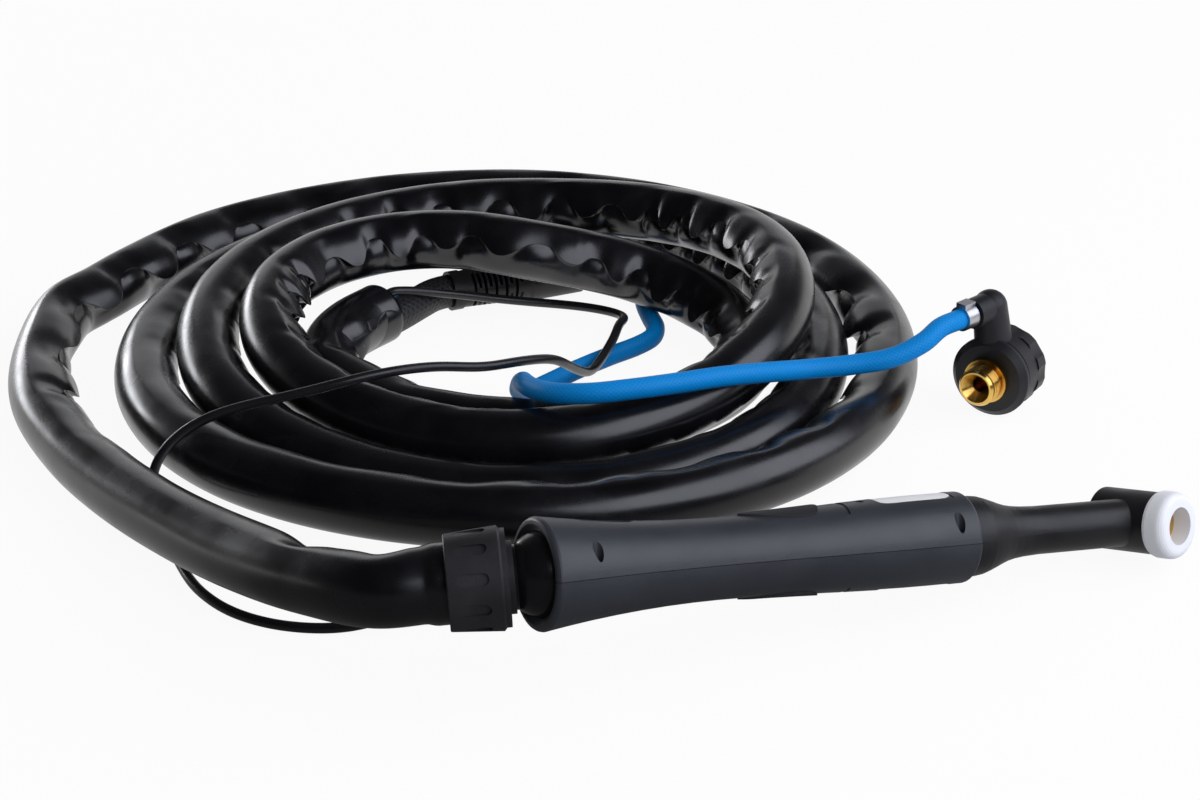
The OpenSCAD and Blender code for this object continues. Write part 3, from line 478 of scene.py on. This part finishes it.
def folded_rings(line, s):
    """The rings of the sheath's skin, and the directions of their points from the line."""
    t = tangents(line)
    side = np.cross(t, (0, 0, 1.0))
    side /= np.linalg.norm(side, axis=1)[:, None]
    drop = np.cross(t, side)
    turning = (blur(np.gradient(t, axis=0) / STEP, 16 / STEP) * side).sum(1)
    ends = (np.clip((s - 16) / 40, 0, 1) * np.clip((s[-1] - s) / 30, 0, 1))[:, None]
    strength = fold_strength(line, s, turning)[:, None] * ends
    held = np.minimum(strength, 1)
    inward = np.clip((s - OUTER) / 120, 0, 1)[:, None]

    # The crease, and the points of each ring, closer together near it
    petal = np.cos(2 * np.pi * fold_phase(s, 44, 25, 0.25))
    petal = (petal * (1.3 - 0.3 * petal ** 2) * (0.80 + 0.35 * wobble(s, 33, 5)))[:, None]
    crease = REST + 0.41 * petal + 0.10 * wobble(s, 60, 2)[:, None]
    spread = np.linspace(-np.pi, np.pi, SIDES, endpoint=False)[None, :]
    a = spread - 0.62 * np.sin(spread)
    psi = REST + a + (crease - REST) * np.exp(-(a / 0.8) ** 2)

    # Above the crease: petals that swell towards it, drawn partly flat from the top
    top = -1.95 + 0.55 * inward
    down = np.clip((psi - top) / (crease - top), 0, 1)
    lip = strength * ((3.1 - 0.6 * inward) * petal - 1.0)
    arc = SHEATH_R + lip * soft(down) ** 0.6
    chord = SHEATH_R * (SHEATH_R + lip) * np.sin(crease - top) / np.maximum(
        SHEATH_R * np.sin(np.maximum(psi - top, 0))
        + (SHEATH_R + lip) * np.sin(np.maximum(crease - psi, 0)), 1)
    taut = (0.35 + 0.15 * inward) * held * (1 - np.exp(-down / 0.12))
    taut = np.where((a < 0) & (psi > top), taut, 0)

    # Below it: a tucked face, and a slight undercut
    below = np.maximum(a, 0)
    step = np.where(a >= 0, 1 - np.exp(-below / 0.05), 0)
    tucked = (lip * (1 - step) - strength * (3.7 + 0.9 * petal) * step * (1 - soft(a / 1.7))
              - strength * 0.8 * petal * soft(a / 0.6) * (1 - soft((a - 0.6) / 0.7)))
    shape = np.where(a < 0, arc + taut * (chord - arc) - SHEATH_R, tucked)

    # Gathers across the top, and slow dents all over
    gather = np.cos(np.pi * fold_phase(s, 47, 47, 0.35)[:, None] + 1.1 * psi) ** 10
    shape += strength * -0.5 * gather * np.exp(-((psi + 1.3) / 0.45) ** 2)
    shape += 0.35 * ends * (wobble(s, 75, 3)[:, None] * np.cos(psi)
                            + wobble(s, 55, 4)[:, None] * np.cos(2 * psi + 0.7))
    psi -= held * 0.13 * np.exp(-below / 0.12) * (1 - np.exp(-below / 0.02))

    out = np.cos(psi)[:, :, None] * side[:, None, :] + np.sin(psi)[:, :, None] * drop[:, None, :]
    seat = np.clip((s - 9.0) / 4.0, 0, 1)[:, None]
    radius = NUT_BORE_R * (1 - seat) + (SHEATH_R + shape) * seat
    rings = line[:, None, :] + radius[:, :, None] * out
    rings[:, :, 2] = np.maximum(rings[:, :, 2], 0.02)
    return rings, out


def mouth_rings(line, s, out):
    """The rings of the open end: its rounded edge and the inside of its wall."""
    bore = SHEATH_R - SHEATH_WALL
    rings = [line[-1] - 0.3 * tail_dir + (bore + 0.5) * out[-1],
             line[-1] - 0.6 * tail_dir + (bore + 0.3) * out[-1]]
    for back in (8, 25, 52):
        i = np.abs(s - (s[-1] - back)).argmin()
        rings.append(line[i] + bore * out[i])
    return np.array(rings)


line, s = smooth_line(lead + [coil_in] + coil + [coil_out] + tail, STEP)
rings, out = folded_rings(line, s)
rings = np.concatenate([rings, mouth_rings(line, s, out)])
at = np.concatenate([s, s[-1] + 0.5 * np.arange(1, len(rings) - len(s) + 1)])
sheath = tube_mesh("sheath", rings, at)
finish_with(sheath, "sheath")
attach(sheath, "hose_end")
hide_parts("sheath_lead", "sheath_coil", "sheath_tail")

# ---------------------------------------------------------------- the gas nipple's thread
angle = np.arange(0, THREAD_TURNS * 2 * np.pi, np.pi / 24)
travel = THREAD_START + THREAD_PITCH * angle / (2 * np.pi)
crest = NIPPLE_R + THREAD_HIGH * np.minimum(1, np.minimum(angle, angle[-1] - angle) / 0.9)
spoke = np.outer(np.cos(angle), np.cross((0, 0, 1), gas_dir)) + np.outer(np.sin(angle), (0, 0, 1))
core = gas_at + np.outer(travel, gas_dir)
# The ridge's section: places along the axis, and radii
section = [(0.56, NIPPLE_R - 0.15), (0.1, crest), (-0.1, crest), (-0.56, NIPPLE_R - 0.15)]
ridge = np.stack([core + w * gas_dir + np.reshape(h, (-1, 1)) * spoke for w, h in section], 1)
thread = tube_mesh("gas_thread", ridge, angle * NIPPLE_R)
finish_with(thread, "thread")
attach(thread, "gas_wheel")


# ---------------------------------------------------------------- cables and hose
def plain_tube(name, points, radius, step, sides, ease=0.0):
    """A round tube along the points; ease, in samples, rounds the bends away from its ends."""
    line, s = smooth_line(points, step)
    if ease:
        inside = soft((s - 12) / 15) * soft((s[-1] - 12 - s) / 15)
        line += inside[:, None] * (blur(line, ease) - line)
    u, v = carried_normals(line)
    phi = 2 * np.pi * np.arange(sides) / sides
    out = np.cos(phi)[None, :, None] * u[:, None, :] + np.sin(phi)[None, :, None] * v[:, None, :]
    return tube_mesh(name, line[:, None, :] + radius * out, s), line, s


power, power_line, power_s = plain_tube("power_line", power_points, POWER_R, 2, 40)
hose, hose_line, hose_s = plain_tube("hose_line", hose_points, HOSE_R, 2, 32)
control, control_line, control_s = plain_tube("control_line", control_points, CONTROL_R, 1.5, 20, 3.5)
finish_with(power, "power_black")
finish_with(hose, "hose_blue")
finish_with(control, "cable_black")
for o, n in ((power, "power_cable"), (hose, "gas_hose"), (control, "control_cable")):
    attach(o, "hose_end")
    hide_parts(n)


# ---------------------------------------------------------------- the blank label in its recess
def handle_r(x):
    """The handle's radius at x along it."""
    k = min(1, max(0, (x - WAIST_X) / (NOSE_X - WAIST_X)))
    return WAIST_R + NOSE_GROWTH * k * k * (3 - 2 * k)


def label_outline(count):
    """A rounded oblong, as places along and across the handle."""
    outline = []
    for k in range(count):
        c, d = math.cos(2 * math.pi * k / count), math.sin(2 * math.pi * k / count)
        outline.append((math.copysign(abs(c) ** 0.4, c) * LABEL_HALF_LEN,
                        math.copysign(abs(d) ** 0.4, d) * LABEL_HALF_W))
    return outline


def label_mesh(name, count=40, rows=8):
    """A thin plate that follows the handle: a lower and an upper face of rows, and their rim."""
    verts, faces = [], []
    for lift in (0.0, LABEL_T):
        for k in range(rows + 1):
            for a, b in label_outline(count):
                a, b = a * k / rows, b * k / rows
                y = -math.sqrt((handle_r(LABEL_X + a) - RECESS + lift) ** 2 - b * b)
                verts.append((torch((LABEL_X + a, y, b)) * MM).tolist())
    layer = (rows + 1) * count
    for i in range(count):
        j = (i + 1) % count
        for k in range(0, rows * count, count):
            q = [k + i, k + j, k + count + j, k + count + i]
            faces += [q[::-1], [x + layer for x in q]]
        rim = rows * count
        faces.append([rim + i, rim + j, rim + j + layer, rim + i + layer])
    mesh = bpy.data.meshes.new(name)
    mesh.from_pydata(verts, [], faces)
    return mesh


label = bpy.data.objects.new("blank_label", label_mesh("blank_label"))
scene.collection.objects.link(label)
finish_with(label, "label")
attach(label, "handle")

# ---------------------------------------------------------------- floor, light and world
BACKDROP = (0.44, 0.90)
FLOOR_HALF = 6


def toward_backdrop(t, x, y):
    """How far a place or a direction lies towards the backdrop."""
    parts = [math_node(t, "MULTIPLY", v, k) for v, k in zip((x, y), BACKDROP)]
    return math_node(t, "ADD", *parts)


def white_floor(name):
    """White to the camera, with the object's shadow; in reflections dark in front and white behind."""
    m = bpy.data.materials.new(name)
    m.use_nodes = True
    t = m.node_tree
    b = t.nodes["Principled BSDF"]
    b.inputs["Roughness"].default_value = 0.9
    b.inputs["Specular IOR Level"].default_value = 0.1
    path = node(t, "ShaderNodeLightPath")
    camera_ray, glossy_ray = path.outputs["Is Camera Ray"], path.outputs["Is Glossy Ray"]
    x, y, _ = split(t, place(t))
    behind = rise(t, toward_backdrop(t, x, y), 0.1, 0.95, -0.02, 0.12)
    t.links.new(ramp(t, camera_ray, (0, (0.5, 0.5, 0.5)), (1, (0.95, 0.95, 0.95))), b.inputs["Base Color"])
    glow = node(t, "ShaderNodeEmission")
    glow.inputs["Color"].default_value = (1, 1, 1, 1)
    mirrored = math_node(t, "MULTIPLY", glossy_ray, behind)
    t.links.new(math_node(t, "ADD", camera_ray, mirrored), glow.inputs["Strength"])
    mix = node(t, "ShaderNodeMixShader")
    seen = math_node(t, "MULTIPLY", camera_ray, 0.93)
    t.links.new(math_node(t, "ADD", seen, glossy_ray), mix.inputs["Fac"])
    t.links.new(b.outputs["BSDF"], mix.inputs[1])
    t.links.new(glow.outputs["Emission"], mix.inputs[2])
    t.links.new(mix.outputs["Shader"], t.nodes["Material Output"].inputs["Surface"])
    return m


def studio_world(name):
    """White to the camera, plain soft light, and in reflections white at the backdrop's horizon."""
    world = bpy.data.worlds.new(name)
    world.use_nodes = True
    t = world.node_tree
    back = t.nodes["Background"]
    back.inputs["Color"].default_value = (1, 1, 1, 1)
    path = node(t, "ShaderNodeLightPath")
    seen = math_node(t, "MAXIMUM", path.outputs["Is Camera Ray"], path.outputs["Is Transmission Ray"])
    x, y, z = split(t, place(t, "Generated"))
    horizon = rise(t, z, 1.0, 0.06, 0.10, 0.27)
    mirrored = math_node(t, "MULTIPLY", horizon, rise(t, toward_backdrop(t, x, y), 0.1, 1.0, 0.3, 0.7))
    choose = node(t, "ShaderNodeMix")
    t.links.new(path.outputs["Is Glossy Ray"], choose.inputs[0])
    t.links.new(rise(t, seen, 0.38, 1.0, 0, 1), choose.inputs[2])
    t.links.new(mirrored, choose.inputs[3])
    t.links.new(choose.outputs[0], back.inputs["Strength"])
    return world


def soft_box(name, at, size, power, color=(0.94, 0.96, 1.0)):
    """A soft box turned to the middle of the coil; the camera doesn't see it."""
    middle = Vector((0, 0.15, 0.02))
    data = bpy.data.lights.new(name, "AREA")
    data.color = color
    data.shape = "RECTANGLE"
    data.size, data.size_y = size
    data.energy = power
    o = bpy.data.objects.new(name, data)
    scene.collection.objects.link(o)
    o.visible_camera = False
    o.location = at
    o.rotation_euler = (middle - Vector(at)).to_track_quat("-Z", "Y").to_euler()


floor_mesh = bpy.data.meshes.new("floor")
corners = ((-1, -1), (1, -1), (1, 1), (-1, 1))
floor_mesh.from_pydata([(x * FLOOR_HALF, y * FLOOR_HALF, 0) for x, y in corners], [], [(0, 1, 2, 3)])
floor_mesh.materials.append(white_floor("floor_white"))
floor = bpy.data.objects.new("floor", floor_mesh)
scene.collection.objects.link(floor)
scene.world = studio_world("studio")
soft_box("main", (0.84, -0.78, 0.86), (2.6, 1.2), 26, color=(0.86, 0.89, 1.0))
soft_box("strip", (-0.51, 1.56, 0.14), (0.8, 0.24), 4)
soft_box("back", (0.5, 1.5, 0.5), (1.4, 0.3), 1)

scene.view_settings.view_transform = "Standard"
